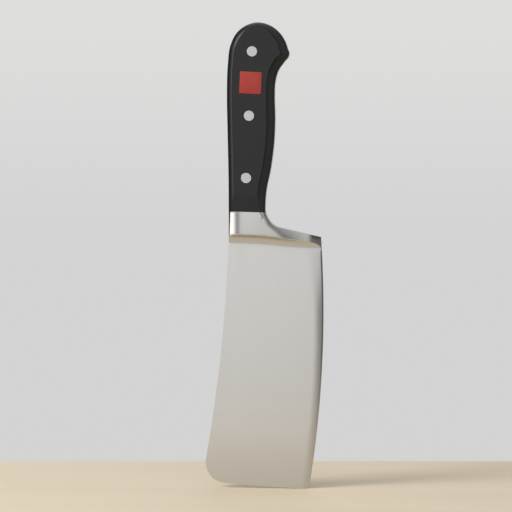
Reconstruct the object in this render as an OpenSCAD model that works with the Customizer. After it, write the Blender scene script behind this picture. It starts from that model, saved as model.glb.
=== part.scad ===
// A forged kitchen cleaver: one steel forging that is blade, bolster and full tang,
// two moulded handle scales, three two-part rivets and a square inlay in one scale.
// It stands on its toe with the handle up. +Z runs from the front end of the blade
// to the butt of the handle, +X from the spine to the cutting edge, and +Y away
// from the side with the inlay. All sizes are in millimetres.

/* [Blade outline] */
// Height of the heel above the toe
blade_l = 160; // [130:1:200]
// Depth of the blade at the heel, from spine to cutting edge
heel_w = 58.4; // [52:0.2:68]
// How far the toe sits back from the heel, towards the spine
toe_back = 7.4; // [4:0.2:12]
// Bow of the cutting edge between heel and toe
edge_bow = 4.6; // [2:0.2:7]
// How far the spine flares out at the front end
front_flare = 17.3; // [10:0.2:24]
// Hollow of the spine between heel and front end
spine_bow = 3.1; // [1:0.1:5]
// How much higher the front end is at the spine than at the toe
front_rise = 4.6; // [3.8:0.1:8]
// Bow of the front end
front_bow = 0.9; // [0.4:0.1:0.95]
// Radius of the front corner at the spine
corner_r = 13; // [8:0.5:18]

/* [Blade section] */
// Thickness at the spine, beside the bolster
spine_t = 4; // [3.4:0.1:5]
// Thickness at the spine, at the front end
front_t = 3.2; // [2.8:0.1:3.4]
// Thickness at the heel, behind the ground edge
edge_t = 2; // [1.8:0.1:2.6]
// Width of the ground band behind the cutting bevel, before it runs out in the face
grind_w = 5.2; // [4:0.1:8]
// Width of the cutting bevel
bevel_w = 1.4; // [0.8:0.1:2]
// Thickness where the cutting bevel starts
bevel_t = 0.9; // [0.6:0.05:1.1]
// Thickness left at the very edge
edge_land = 0.2; // [0.1:0.05:0.4]
// Length of the heel that is left unground below the bolster
heel_guard = 8.2; // [5:0.2:9]

/* [Bolster] */
// Height of the bolster, from heel level to the handle scales
bolster_l = 15.8; // [14:0.2:17.4]
// Thickness of the bolster at the handle scales
bolster_t = 15.4; // [13:0.2:16]
// Thickness of the bolster at the shoulder above the blade
shoulder_t = 12.8; // [11:0.2:13]
// Radius of the crown across the bolster and the lower end of the scales
crown_r = 200; // [90:10:300]
// Lean of the joint between bolster and scales, in degrees
joint_lean = 1.6; // [0:0.1:4]
// Radius of the hollow ramp from the blade up to the shoulder
ramp_r = 6.2; // [4.4:0.1:7]
// How far the foot of the ramp lies below heel level at the spine
ramp_drop = 4.2; // [2:0.1:5]
// Fall of the ramp towards the heel, in degrees
ramp_fall = 4.2; // [0:0.1:6]
// Radius of the hollow under the grip
neck_r = 13; // [10:0.5:15]
// Width of the neck at its narrowest, behind that hollow
neck_w = 23.1; // [21:0.1:25]
// Slope of the bolster's back edge down to the heel, in degrees
neck_slope = 13.3; // [10:0.1:16]
// Width left at the heel of the eased edge that follows the hollow
neck_ease = 1.2; // [0.8:0.1:2]
// Thickness of the bolster where it runs out at the heel
heel_t = 5.4; // [4:0.1:6]
// Thickness that the hollow flank would have behind the neck, if the crown didn't cut it off
flank_t = 16.4; // [15:0.2:18]
// Radius of the hollow flank between the bolster and the heel
flank_r = 115; // [100:5:240]
// Width of the flat that thins the end of the heel
heel_flat = 7; // [5:0.5:12]
// How far the very end of the heel still stands above the face of the blade
heel_lip = 0.1; // [0:0.05:0.5]

/* [Handle] */
// Length of the handle from the bolster to the top of the butt
handle_l = 119.2; // [105:0.2:135]
// Thickness of the handle across both scales
handle_t = 17; // [16.4:0.2:20]
// Thickness of the tang
tang_t = 3.5; // [2.5:0.1:4]
// Bulge of the back of the handle
back_bulge = 1.1; // [0:0.1:2]
// Width from the back to the fullest part of the belly
belly_w = 29.5; // [27:0.1:32]
// Width from the back to the waist under the beak
waist_w = 29.2; // [27:0.1:32]
// Width from the back to the tip of the beak
beak_w = 38.5; // [36:0.1:41]
// Drop from the top of the butt to the tip of the beak
beak_drop = 20.4; // [16:0.2:23]
// Width from the back to the highest point of the butt
crown_x = 18.3; // [16:0.1:20]
// Width of the eased edge along the back
back_ease = 3.7; // [2:0.1:4.5]
// Width of the eased edge along the belly
belly_ease = 4.9; // [2:0.1:5.5]
// Width of the eased edge over the top of the butt
butt_ease = 1.8; // [1.6:0.1:3]
// Width of the eased edge round the beak
beak_ease = 5.2; // [3:0.1:6]

/* [Rivets] */
// Diameter of the rivet heads
head_d = 6.8; // [6:0.1:8]
// Length of the rivet heads
head_l = 2.4; // [1.6:0.1:3]
// Diameter of the hollow rivet's shank
shank_d = 4.8; // [4.4:0.1:5.2]
// Diameter of the post inside it
post_d = 3.2; // [2.6:0.1:3.6]
// Distance of the first rivet above the bolster
rivet_neck = 21.4; // [18:0.2:26]
// Distance of the last rivet below the top of the butt
rivet_butt = 18.4; // [16:0.2:21]
// How far the middle rivet sits below the middle between the other two
rivet_sink = 0.6; // [0:0.1:4]
// Distance of the first rivet from the back of the handle
rivet_in = 11.7; // [10.5:0.1:13]
// Lean of the row of rivets, in degrees
rivet_lean = 2.7; // [0:0.1:4]

/* [Inlay] */
// Side of the square inlay
inlay_w = 13.8; // [10:0.1:15]
// Thickness of the inlay
inlay_t = 0.8; // [0.5:0.1:1.5]
// Corner radius of the inlay
inlay_r = 0.5; // [0.3:0.1:1.5]
// Distance of the inlay's middle below the last rivet
inlay_below = 19.6; // [16:0.2:24]

/* [Fits] */
// Gap all round a rivet head in its counterbore
head_gap = 0.03; // [0.01:0.01:0.1]
// Gap all round a shank in the scales and the tang
shank_gap = 0.1; // [0.05:0.01:0.2]
// Gap all round the post in the hollow shank
post_gap = 0.02; // [0.01:0.01:0.05]
// Gap all round the inlay in its pocket
inlay_gap = 0.05; // [0.02:0.01:0.1]

/* [Hidden] */

// Facets of ordinary rounds, and of the very large ones
$fn = 96;
fine = 1440;
// Bands between the tang and the face of a scale, and steps between outline points
bands = 7;
steps = 5;
neck_steps = 12;
// Exponents that give the eased edge its slanted side and its tighter corner
side_curve = 2.2;
corner_curve = 1.15;
// How far a cut runs on past the metal, and the handle's outline past the joint
overrun = 1;
run_on = 6;
// More than any cut has to reach, and the reach of the longest
reach = heel_w + overrun;
far = 2 * (blade_l + handle_l);

// Drawing plane: x from the back of the handle towards the edge, z up from the toe
heel = [heel_w, blade_l];
toe = [heel_w - toe_back, 0];
spine_top = [0, blade_l];
spine_end = [-front_flare, front_rise];
joint_z = blade_l + bolster_l;
scale_t = (handle_t - tang_t) / 2;
face_y = handle_t / 2;

function unit(v) = v / norm(v);
function left_of(v) = [-v[1], v[0]];
function turned(a) = [cos(a), sin(a)];

// Radius and middle of the circle through a and b whose arc stands bow to the left of a-b
function arc_radius(a, b, bow) = (pow(norm(b - a) / 2, 2) + bow * bow) / (2 * bow);
function arc_middle(a, b, bow) = (a + b) / 2 + left_of(unit(b - a)) * (bow - arc_radius(a, b, bow));

edge_r = arc_radius(heel, toe, edge_bow);
edge_mid = arc_middle(heel, toe, edge_bow);
spine_r = arc_radius(spine_top, spine_end, spine_bow);
spine_mid = arc_middle(spine_top, spine_end, spine_bow);
front_r = arc_radius(toe, spine_end, front_bow);
front_mid = arc_middle(toe, spine_end, front_bow);

// Middle of the corner circle, which touches the spine from outside and the front from inside
corner_gap = norm(front_mid - spine_mid);
corner_reach = spine_r + corner_r;
corner_along = (pow(corner_reach, 2) - pow(front_r - corner_r, 2) + pow(corner_gap, 2)) / (2 * corner_gap);
corner_aside = sqrt(pow(corner_reach, 2) - pow(corner_along, 2));
corner_way = unit(front_mid - spine_mid);
corner_mid = spine_mid + corner_way * corner_along - left_of(corner_way) * corner_aside;

// The hollow under the grip: its middle, and how far right of the back it lies at a height
neck_x = neck_w + neck_r;
neck_z = blade_l + (heel_w - neck_x) * tan(neck_slope) + neck_r / cos(neck_slope);
function neck_at(z) = z >= neck_z ? neck_w : neck_x - sqrt(pow(neck_r, 2) - pow(neck_z - z, 2));

// Width of the eased edge at a share of the way round the hollow, and at a height
function neck_width(way) = neck_ease + (belly_ease - neck_ease) * pow(1 - way, 2);
function neck_width_at(z) = neck_width(max(0, asin((neck_z - z) / neck_r)) / (90 - neck_slope));

// Outline of the room in that hollow, let into the metal by a share of the eased edge
function neck_ring(share) =
    let (radii = [for (k = [0:neck_steps]) neck_r + share * neck_width(k / neck_steps)],
        foot = 270 - neck_slope)
    concat([[neck_x - radii[0], neck_z + reach]],
        [for (k = [0:neck_steps]) [neck_x, neck_z] + radii[k] * turned(180 + (foot - 180) * k / neck_steps)],
        [[neck_x, neck_z] + radii[neck_steps] * turned(foot) + reach * turned(foot + 90),
            [neck_x + reach, neck_z + reach]]);

// The drawing is moved so that the part stands in the middle of its own box
edge_right = abs(edge_mid[1] - blade_l / 2) < blade_l / 2 ? edge_mid[0] + edge_r : max(heel[0], toe[0]);
shift_x = -(edge_right + corner_mid[0] - corner_r) / 2;

// Half thickness of the blade's face falls towards the edge and towards the front
wedge = atan((spine_t - edge_t) / 2 / heel_w);
taper = atan((spine_t - front_t) / 2 / blade_l);

// Slope of the flat that thins the end of the heel down to that lip
heel_slope = atan(((heel_t - edge_t) / 2 - heel_lip) / heel_flat);

// Depths of the bands of an eased edge, and the share of its full width at each
depths = [for (k = [0:bands]) 1 - pow(1 - k / bands, 2)];
function ease_share(d) = 1 - pow(1 - pow(d, side_curve), 1 / corner_curve);
function band_y(k) = tang_t / 2 + depths[k] * scale_t;

// Outline of the handle, from below the joint up the back, over the butt and down
// the belly, as x, height above the joint, and width of the eased edge there
butt_back = crown_x + back_bulge;
butt_front = beak_w - crown_x;
beak_up = handle_l - beak_drop;
brow_x = crown_x + butt_front * 0.875;
brow_up = handle_l - beak_drop * 0.6;
handle_line = [
    [0, -run_on, back_ease],
    [0, 0, back_ease],
    [-back_bulge * 0.1, handle_l * 0.18, back_ease],
    [-back_bulge * 0.65, handle_l * 0.43, back_ease],
    [-back_bulge, handle_l * 0.63, back_ease],
    [-back_bulge * 0.5, handle_l - butt_back * 1.4, back_ease],
    [crown_x - butt_back * 0.87, handle_l - butt_back * 0.7, back_ease],
    [crown_x - butt_back * 0.66, handle_l - butt_back * 0.315, back_ease],
    [crown_x - butt_back * 0.36, handle_l - butt_back * 0.092, (back_ease + butt_ease) / 2],
    [crown_x, handle_l, butt_ease],
    [crown_x + butt_front * 0.35, handle_l - beak_drop * 0.074, (butt_ease + beak_ease) / 2],
    [crown_x + butt_front * 0.66, handle_l - beak_drop * 0.287, beak_ease * 0.85],
    [brow_x, brow_up, beak_ease * 0.9],
    [(brow_x + beak_w) / 2 + 0.15, (brow_up + beak_up) / 2, beak_ease * 0.95],
    [beak_w - 0.1, beak_up + 0.5, beak_ease * 0.95],
    [beak_w - 0.35, beak_up - 0.7, beak_ease * 0.95],
    [waist_w + (beak_w - waist_w) * 0.65, beak_up - 4.6, beak_ease],
    [waist_w + (beak_w - waist_w) * 0.265, beak_up - 9.8, beak_ease],
    [waist_w + (beak_w - waist_w) * 0.04, beak_up - 17.5, belly_ease],
    [waist_w, beak_up - 25.5, belly_ease],
    [belly_w, handle_l * 0.5, belly_ease],
    [neck_w + (belly_w - neck_w) * 0.92, handle_l * 0.38, belly_ease],
    [neck_w + (belly_w - neck_w) * 0.58, handle_l * 0.23, belly_ease],
    [neck_w + (belly_w - neck_w) * 0.135, handle_l * 0.11, belly_ease],
    [neck_at(joint_z) - 0.1, handle_l * 0.035, (belly_ease + neck_width_at(joint_z)) / 2],
    [neck_at(joint_z), 0, neck_width_at(joint_z)],
    [neck_at(joint_z - run_on), -run_on, neck_width_at(joint_z - run_on)]];

// A smooth line through those points, drawn in from them by a share of their ease
function way(p, i) =
    i == 0 ? unit(p[1] - p[0]) :
    i == len(p) - 1 ? unit(p[i] - p[i - 1]) :
    let (a = p[i] - p[i - 1], b = p[i + 1] - p[i]) unit(a / (a * a) + b / (b * b));
function between(a, b, from, to, t) =
    let (l = norm(b - a))
    a * (1 + 2 * t) * pow(1 - t, 2) + from * l * t * pow(1 - t, 2)
    + b * t * t * (3 - 2 * t) + to * l * t * t * (t - 1);
function smooth(p) = concat(
    [for (i = [0:len(p) - 2]) for (k = [0:steps - 1])
        between(p[i], p[i + 1], way(p, i), way(p, i + 1), k / steps)],
    [p[len(p) - 1]]);
handle_path = [for (p = handle_line) [p[0], p[1]]];
function drawn_in(share) = smooth([for (i = [0:len(handle_path) - 1])
    handle_path[i] - left_of(way(handle_path, i)) * handle_line[i][2] * share]);

// Heights of the rivets and the inlay above the bolster, and their places on the drawing plane
last_up = handle_l - rivet_butt;
middle_up = (rivet_neck + last_up) / 2 - rivet_sink;
inlay_up = last_up - inlay_below;
rivet_ups = [rivet_neck, middle_up, last_up];
function on_row(up) = [rivet_in + (up - rivet_neck) * tan(rivet_lean), joint_z + up];

// Moves the drawing plane upright into the part's own frame
module upright() {
    translate([shift_x, 0, 0]) children();
}

// A solid through rings of points one behind the other, with a cap of triangles at both ends
module polyhedron_of(rings, cap) {
    n = len(rings[0]);
    last = (len(rings) - 1) * n;
    walls = [for (k = [0:n:last - n]) for (i = [0:n - 1]) let (j = (i + 1) % n)
        each [[k + i, k + n + i, k + n + j], [k + i, k + n + j, k + j]]];
    ends = [for (c = cap) each [c, [last + c[2], last + c[1], last + c[0]]]];
    polyhedron([for (r = rings) each r], concat(walls, ends), convexity = 6);
}

// Triangles between two sides of a ring that both run upwards, one from each end of the list
function zipped(r, i, j) =
    i + 1 >= j ? [] :
    r[i + 1][2] < r[j - 1][2] ? concat([[i, i + 1, j]], zipped(r, i + 1, j)) :
    concat([[i, j - 1, j]], zipped(r, i, j - 1));

// A round bar or bore across the part, at a point of the drawing plane
module across(p, d, y0, y1) {
    translate([p[0], y0, p[1]]) rotate([-90, 0, 0]) cylinder(d = d, h = y1 - y0);
}

// A very large disc across the part, for the long arcs of the blade
module disc(p, r) {
    translate([p[0], 0, p[1]]) rotate([90, 0, 0]) cylinder(r = r, h = 2 * reach, center = true, $fn = fine);
}

// What lies beyond the eased edge along the back of the bolster, seen from above
module beyond_back() {
    side = concat([for (k = [0:bands]) [back_ease * ease_share(depths[k]), band_y(k)]], [[back_ease, reach]]);
    other = [for (k = [bands + 1:-1:0]) [side[k][0], -side[k][1]]];
    polygon(concat([[-reach, reach], [-reach, -reach]], other, side));
}

// The flared blank of blade and bolster, cut by the long arcs of spine, edge and front
module blade_blank() {
    difference() {
        intersection() {
            translate([-reach, -reach / 2, -reach])
                cube([2 * reach + heel_w, reach, joint_z + bolster_l / 2 + reach]);
            disc(edge_mid, edge_r);
            disc(front_mid, front_r);
        }
        intersection() {
            disc(spine_mid, spine_r);
            translate([-far, -reach, -reach]) cube([2 * far, 2 * reach, blade_l + reach]);
        }
        translate([-far, -reach, blade_l]) cube([far, 2 * reach, far]);
        difference() {
            translate([corner_mid[0], 0, corner_mid[1]]) rotate([90, 0, 0])
                linear_extrude(2 * reach, center = true)
                    polygon([[0, 0], corner_r * unit(spine_mid - corner_mid), [-2 * corner_r, -2 * corner_r],
                        corner_r * unit(corner_mid - front_mid)]);
            across(corner_mid, 2 * corner_r, -2 * reach, 2 * reach);
        }
    }
}

// The room under the grip, with the eased edge of bolster and heel
module neck_room() {
    sides = concat([[1, reach]], [for (k = [bands:-1:0]) [ease_share(depths[k]), band_y(k)]]);
    levels = concat(sides, [for (k = [bands + 1:-1:0]) [sides[k][0], -sides[k][1]]]);
    polyhedron_of([for (l = levels) [for (p = neck_ring(l[0])) [p[0], l[1], p[1]]]],
        [for (i = [1:len(neck_ring(0)) - 2]) [0, i, i + 1]]);
}

// One side of the forging, cut back to the blade's face, with the ramp up to the bolster
module face_cut() {
    translate([0, spine_t / 2, blade_l - ramp_drop]) rotate([-taper, 0, 0]) rotate([0, 0, -wedge])
        rotate([0, ramp_fall, 0]) rotate([90, 0, 90]) translate([0, 0, -reach])
            linear_extrude(far) union() {
                translate([ramp_r, 0]) circle(ramp_r);
                translate([0, -far]) square([reach, far]);
                translate([ramp_r, -far]) square([reach, far + ramp_r]);
            }
}

// The crowned side of the bolster, thinner towards the shoulder
module crown_cut(t0, t1, rise) {
    lean = atan((t0 - t1) / 2 / rise);
    translate([neck_w / 2, t0 / 2, joint_z]) rotate([-lean, 0, 0]) difference() {
        translate([-reach, -reach / 4, -1.5 * bolster_l])
            cube([reach + neck_x - neck_w / 2, reach, 3 * bolster_l]);
        translate([0, -crown_r, -2 * reach]) cylinder(r = crown_r, h = 4 * reach, $fn = fine);
    }
}

// The hollow flank from the bolster out to the heel
module flank_cut() {
    lean = atan((bolster_t - shoulder_t) / 2 / bolster_l);
    start = [neck_w - overrun, flank_t / 2];
    end = [heel_w, heel_t / 2];
    bow = flank_r - sqrt(pow(flank_r, 2) - pow(norm(end - start) / 2, 2));
    middle = arc_middle(start, end, -bow);
    translate([0, 0, blade_l]) rotate([-lean, 0, 0])
        translate([middle[0], middle[1], -heel_guard - overrun])
            cylinder(r = flank_r, h = reach, $fn = fine);
}

// The flat that thins the end of the heel
module heel_cut() {
    translate([heel_w - heel_flat, heel_t / 2, blade_l - reach / 2]) rotate([0, 0, -heel_slope])
        cube(reach);
}

// The ground band and the cutting bevel, turned about the middle of the edge's arc
module edge_cut() {
    slope = (edge_t - bevel_t) / 2 / (grind_w - bevel_w) + tan(wedge);
    intersection() {
        translate([edge_mid[0], 0, edge_mid[1]]) rotate([90, 0, 0]) rotate_extrude($fn = fine)
            translate([edge_r, 0]) polygon([[overrun, edge_land / 2], [0, edge_land / 2],
                [-bevel_w, bevel_t / 2], [-bevel_w - reach / 2, (bevel_t + slope * reach) / 2],
                [overrun, (bevel_t + slope * reach) / 2]]);
        translate([0, -reach, -reach]) cube([far, 2 * reach, blade_l - heel_guard + reach]);
    }
}

// The tang, which follows the outline of the handle
module tang() {
    outline = [for (p = drawn_in(0)) if (p[1] >= 0) p];
    last = outline[len(outline) - 1];
    rotate([90, 0, 0]) linear_extrude(tang_t, center = true) translate([0, joint_z])
        polygon(concat([[overrun, -run_on]], outline, [[last[0] - overrun, -run_on]]));
}

module both_sides() {
    children();
    mirror([0, 1, 0]) children();
}

// Blade and bolster with their outer sides cut, before the ramp, the neck and the edge
module bolster_block() {
    difference() {
        blade_blank();
        translate([0, 0, blade_l - bolster_l / 2]) linear_extrude(reach) beyond_back();
        both_sides() {
            crown_cut(bolster_t, shoulder_t, bolster_l);
            flank_cut();
            heel_cut();
        }
        above_joint();
    }
}

module blade_with_tang() {
    color("silver") upright() difference() {
        union() {
            difference() {
                bolster_block();
                neck_room();
                both_sides() {
                    face_cut();
                    edge_cut();
                }
            }
            tang();
        }
        rivet_holes(shank_d + 2 * shank_gap, -reach, reach);
    }
}

// Everything above the joint between bolster and scales
module above_joint() {
    translate([neck_w / 2, 0, joint_z]) rotate([0, joint_lean, 0])
        translate([-reach * 2, -reach, 0]) cube([4 * reach, 2 * reach, far]);
}

module rivet_holes(d, y0, y1) {
    for (up = rivet_ups) across(on_row(up), d, y0, y1);
}

// One scale: bands drawn in from the outline, a crowned lower end and stepped rivet holes
module scale() {
    rings = [for (k = [0:bands])
        [for (p = drawn_in(ease_share(depths[k]))) [p[0], band_y(k), p[1] + joint_z]]];
    difference() {
        intersection() {
            polyhedron_of(rings, zipped(rings[0], 0, len(rings[0]) - 1));
            above_joint();
        }
        crown_cut(bolster_t, shoulder_t, bolster_l);
        rivet_holes(shank_d + 2 * shank_gap, 0, reach);
        rivet_holes(head_d + 2 * head_gap, face_y - head_l, reach);
    }
}

module scale_plain_side() {
    color("#2a2b2d") upright() scale();
}

module scale_inlay_side() {
    color("#2a2b2d") upright() difference() {
        mirror([0, 1, 0]) scale();
        inlay_plate(inlay_gap);
    }
}

// A square plate flush with the face of the scale, grown by a gap for its pocket
module inlay_plate(gap) {
    p = on_row(inlay_up);
    w = inlay_w / 2 - inlay_r;
    translate([p[0], -face_y, p[1]]) rotate([-90, 0, 0]) rotate([0, 0, -rivet_lean]) {
        for (x = [-w, w]) for (y = [-w, w]) translate([x, y, 0]) cylinder(r = inlay_r + gap, h = inlay_t);
        translate([-w - inlay_r - gap, -w, 0]) cube([2 * (w + inlay_r + gap), 2 * w, inlay_t]);
        translate([-w, -w - inlay_r - gap, 0]) cube([2 * w, 2 * (w + inlay_r + gap), inlay_t]);
    }
}

module inlay() {
    color("#b02a22") upright() inlay_plate(0);
}

// The rivet's post: a head on the inlay side and a solid pin into the sleeve
module rivet_post(up) {
    p = on_row(up);
    color("gainsboro") upright() {
        across(p, head_d, -face_y, head_l - face_y);
        across(p, post_d, head_l - face_y, face_y - 2 * head_l);
    }
}

// The rivet's sleeve: a head on the plain side and a hollow shank through the tang
module rivet_sleeve(up) {
    p = on_row(up);
    color("gainsboro") upright() difference() {
        union() {
            across(p, head_d, face_y - head_l, face_y);
            across(p, shank_d, head_l - face_y, face_y - head_l);
        }
        across(p, post_d + 2 * post_gap, -face_y, face_y - 1.5 * head_l);
    }
}

module rivet_post_neck() { rivet_post(rivet_neck); }
module rivet_post_middle() { rivet_post(middle_up); }
module rivet_post_butt() { rivet_post(last_up); }
module rivet_sleeve_neck() { rivet_sleeve(rivet_neck); }
module rivet_sleeve_middle() { rivet_sleeve(middle_up); }
module rivet_sleeve_butt() { rivet_sleeve(last_up); }

blade_with_tang();
scale_inlay_side();
scale_plain_side();
inlay();
rivet_post_neck();
rivet_post_middle();
rivet_post_butt();
rivet_sleeve_neck();
rivet_sleeve_middle();
rivet_sleeve_butt();
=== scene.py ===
import math

import bmesh
import bpy
from mathutils import Matrix, Vector


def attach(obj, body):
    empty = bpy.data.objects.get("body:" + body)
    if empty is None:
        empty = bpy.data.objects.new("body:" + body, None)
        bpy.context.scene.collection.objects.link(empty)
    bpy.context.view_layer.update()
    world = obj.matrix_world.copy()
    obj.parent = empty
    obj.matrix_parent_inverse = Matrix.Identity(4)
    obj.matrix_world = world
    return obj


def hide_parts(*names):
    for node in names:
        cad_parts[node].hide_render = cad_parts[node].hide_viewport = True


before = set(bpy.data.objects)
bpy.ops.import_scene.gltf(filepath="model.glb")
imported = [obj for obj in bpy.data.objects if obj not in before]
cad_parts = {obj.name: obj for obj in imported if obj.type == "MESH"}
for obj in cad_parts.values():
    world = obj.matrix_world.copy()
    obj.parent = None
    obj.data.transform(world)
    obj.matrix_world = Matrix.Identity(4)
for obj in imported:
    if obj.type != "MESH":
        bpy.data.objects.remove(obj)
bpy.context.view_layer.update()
mm = 0.001


# Small helpers. Pieces are drawn in millimetres on an upright plane, x from the back of the
# handle towards the cutting edge and z up from the toe, and are turned to metres at the end.

def flat(x, z):
    return Vector((x, z))


def arcThrough(a, b, bow):  # radius and middle of the arc from a to b that stands bow to its left
    half = (b - a).length / 2
    radius = (half * half + bow * bow) / (2 * bow)
    along = (b - a).normalized()
    return radius, (a + b) / 2 + flat(-along.y, along.x) * (bow - radius)


def turned(degrees):
    return flat(math.cos(math.radians(degrees)), math.sin(math.radians(degrees)))


outOfReach = 99  # a height above all of the knife, where a side sets no limit


def softMin(a, b, width):  # the lower of two heights, rounded where they cross
    near = max(width - abs(a - b), 0) / width
    return min(a, b) - near * near * width / 4


def easeStep(value):
    value = min(max(value, 0), 1)
    return value * value * (3 - 2 * value)


def bevelEdges(bm, edges, width, segments):
    bmesh.ops.bevel(bm, geom=edges, offset=width, offset_type="OFFSET", segments=segments, profile=0.5,
                    affect="EDGES", clamp_overlap=True, material=-1)


def openEdges(bm):
    return sum(1 for e in bm.edges if len(e.link_faces) != 2)


def onlyVerts(made):
    return [g for g in made if isinstance(g, bmesh.types.BMVert)]


def wholeOf(bm):
    return bm.verts[:] + bm.edges[:] + bm.faces[:]


def addPiece(name, bm, sharpAngle, finish, replaced):
    bmesh.ops.scale(bm, vec=(mm, mm, mm), verts=bm.verts)
    bmesh.ops.translate(bm, vec=(blade["shift"] * mm, 0, 0), verts=bm.verts)
    mesh = bpy.data.meshes.new(name)
    bm.to_mesh(mesh)
    bm.free()
    mesh.shade_smooth()
    mesh.set_sharp_from_angle(angle=math.radians(sharpAngle))
    piece = bpy.data.objects.new(name, mesh)
    bpy.context.scene.collection.objects.link(piece)
    piece.data.materials.append(finish)
    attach(piece, "root")
    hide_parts(*replaced)


# Materials

def hexColour(text):
    parts = [int(text[k:k + 2], 16) / 255 for k in (1, 3, 5)]
    return tuple(c / 12.92 if c < 0.04045 else ((c + 0.055) / 1.055) ** 2.4 for c in parts) + (1,)


def addNode(tree, kind, settings=None, links=None):
    node = tree.nodes.new(kind)
    for name, value in (settings or {}).items():
        if name in node.inputs:
            node.inputs[name].default_value = value
        else:
            setattr(node, name, value)
    for name, source in (links or {}).items():
        tree.links.new(source, node.inputs[name])
    return node


def newMaterial(name):
    finish = bpy.data.materials.new(name)
    finish.use_nodes = True
    finish.node_tree.nodes.clear()
    return finish, finish.node_tree


def mixedColour(tree, first, second, share):  # two colours, mixed by a pattern's share
    tint = addNode(tree, "ShaderNodeMix", {"data_type": "RGBA"}, {"Factor": share})
    tint.inputs[6].default_value = hexColour(first)
    tint.inputs[7].default_value = hexColour(second)
    return tint.outputs[2]


steelLook = {
    "ground": "#cbcac7", "groundRoughness": 0.3, "polishedRoughness": 0.2,
    "lineWidth": 0.9 * mm, "lineLength": 60 * mm, "lineDepth": 0.0012 * mm, "lineStrength": 0.25,
    "streakLow": 0.3, "streakHigh": 0.7, "streakSwing": 0.06,
    "polishFrom": 0.157, "polishTo": 0.161,
}


def satinGroundSteel():
    # Hardened stainless steel. The blade is ground along its length, which leaves a soft satin
    # sheen with faint streaks; the bolster is polished finer, so its highlights are tighter.
    finish, tree = newMaterial("satin ground stainless steel")
    place = addNode(tree, "ShaderNodeTexCoord")
    height = addNode(tree, "ShaderNodeSeparateXYZ", links={"Vector": place.outputs["Object"]})
    polish = addNode(tree, "ShaderNodeMapRange", {
        "From Min": steelLook["polishFrom"], "From Max": steelLook["polishTo"],
        "To Min": steelLook["groundRoughness"], "To Max": steelLook["polishedRoughness"]},
        {"Value": height.outputs["Z"]})
    # Real grinding lines are about 0.05 mm wide; they are drawn coarse enough to show
    along = addNode(tree, "ShaderNodeMapping", {
        "Scale": (1 / steelLook["lineWidth"], 1 / steelLook["lineWidth"], 1 / steelLook["lineLength"])},
        {"Vector": place.outputs["Object"]})
    lines = addNode(tree, "ShaderNodeTexNoise", {"Scale": 1.0, "Detail": 3.0, "Roughness": 0.6},
                    {"Vector": along.outputs["Vector"]})
    uneven = addNode(tree, "ShaderNodeMapRange", {
        "From Min": steelLook["streakLow"], "From Max": steelLook["streakHigh"],
        "To Min": 1 - steelLook["streakSwing"], "To Max": 1 + steelLook["streakSwing"]},
        {"Value": lines.outputs["Fac"]})
    rough = addNode(tree, "ShaderNodeMath", {"operation": "MULTIPLY"})
    tree.links.new(polish.outputs["Result"], rough.inputs[0])
    tree.links.new(uneven.outputs["Result"], rough.inputs[1])
    relief = addNode(tree, "ShaderNodeBump", {
        "Strength": steelLook["lineStrength"], "Distance": steelLook["lineDepth"]},
        {"Height": lines.outputs["Fac"]})
    steel = addNode(tree, "ShaderNodeBsdfPrincipled", {
        "Base Color": hexColour(steelLook["ground"]), "Metallic": 1.0},
        {"Roughness": rough.outputs["Value"], "Normal": relief.outputs["Normal"]})
    addNode(tree, "ShaderNodeOutputMaterial", links={"Surface": steel.outputs["BSDF"]})
    return finish


scaleLook = {
    "colour": "#101011", "paler": "#151516", "cloudsPerMetre": 60, "roughness": 0.37, "roughnessSwing": 0.04,
    "grain": 0.6 * mm, "grainDepth": 0.004 * mm, "grainStrength": 0.3,
}


def mouldedBlackAcetal():
    # Acetal, injection moulded black: dense, slightly waxy, with a soft sheen and a fine grain
    finish, tree = newMaterial("moulded black acetal")
    place = addNode(tree, "ShaderNodeTexCoord")
    grain = addNode(tree, "ShaderNodeTexNoise", {"Scale": 1 / scaleLook["grain"], "Detail": 2.0},
                    {"Vector": place.outputs["Object"]})
    clouds = addNode(tree, "ShaderNodeTexNoise", {"Scale": scaleLook["cloudsPerMetre"], "Detail": 2.0},
                     {"Vector": place.outputs["Object"]})
    tint = mixedColour(tree, scaleLook["colour"], scaleLook["paler"], clouds.outputs["Fac"])
    rough = addNode(tree, "ShaderNodeMapRange", {
        "To Min": scaleLook["roughness"] - scaleLook["roughnessSwing"],
        "To Max": scaleLook["roughness"] + scaleLook["roughnessSwing"]},
        {"Value": grain.outputs["Fac"]})
    relief = addNode(tree, "ShaderNodeBump", {
        "Strength": scaleLook["grainStrength"], "Distance": scaleLook["grainDepth"]},
        {"Height": grain.outputs["Fac"]})
    acetal = addNode(tree, "ShaderNodeBsdfPrincipled", {"IOR": 1.44}, {
        "Base Color": tint, "Roughness": rough.outputs["Result"], "Normal": relief.outputs["Normal"]})
    addNode(tree, "ShaderNodeOutputMaterial", links={"Surface": acetal.outputs["BSDF"]})
    return finish


rivetLook = {
    "colour": "#c4c4c3", "roughness": 0.36, "roughnessSwing": 0.06,
    "scratch": 0.5 * mm, "scratchDepth": 0.002 * mm, "scratchStrength": 0.3,
}


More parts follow.
